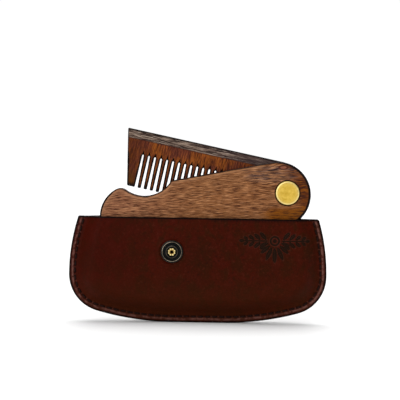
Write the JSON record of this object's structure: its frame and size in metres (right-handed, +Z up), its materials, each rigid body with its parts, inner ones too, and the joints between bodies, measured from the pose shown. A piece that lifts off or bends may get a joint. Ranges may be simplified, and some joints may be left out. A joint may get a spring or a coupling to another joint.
{
  "type": "beard comb",
  "caption": "Folding wooden beard comb, half opened on its brass pivot and half drawn out of a D-shaped leather pouch with a stitched seam and a snap strap.",
  "frame": {"origin": "middle of the flat foot of the pouch's bottom edge, in the plane where the two panels meet", "axes": "+X along the pouch to the pivot end of the comb, -Y to the front with the stud, +Z up to the mouth"},
  "size_m": [0.1238, 0.0263, 0.0932],
  "materials": {
    "leather": "semi-gloss, red-brown",
    "thread": "waxed thread, dark brown",
    "snap_black": "black plated, glossy",
    "snap_brass": "bright",
    "spring_steel": "bright wire",
    "handle_wood": "oiled, edges darkened",
    "blade_wood": "oiled, slots darkened",
    "pivot_brass": "satin with bright edge"
  },
  "bodies": {
    "pouch": {"case_front": "leather", "case_back": "leather", "seam_thread": "thread", "snap_stud": "snap_black", "stud_post": "snap_brass", "strap_base": "leather", "strap_thread": "thread"},
    "strap": {"strap_tab": "leather", "snap_socket": "snap_black", "snap_spring": "spring_steel", "snap_cap": "snap_black"},
    "handle": {"scale_front": "handle_wood", "scale_back": "handle_wood", "handle_spacer": "handle_wood", "stop_pin": "pivot_brass", "pivot_barrel": "pivot_brass", "pivot_screw": "pivot_brass", "washer_front": "pivot_brass", "washer_back": "pivot_brass"},
    "blade": {"comb_blade": "blade_wood"}
  },
  "joints": [
    {"name": "comb_draw", "type": "slide", "parent": "pouch", "child": "handle", "axis": [0, 0, 1], "range_m": [0, 0.04]},
    {"name": "blade_fold", "type": "hinge", "parent": "handle", "child": "blade", "pos_m": [0.0423, 0, 0.063], "axis": [0, 1, 0], "range_deg": [-22.9, 157]},
    {"name": "strap_fold", "type": "hinge", "parent": "pouch", "child": "strap", "pos_m": [-0.0125, 0.00995, 0.05033], "axis": [1, 0, 0], "range_deg": [0, 170]}
  ]
}
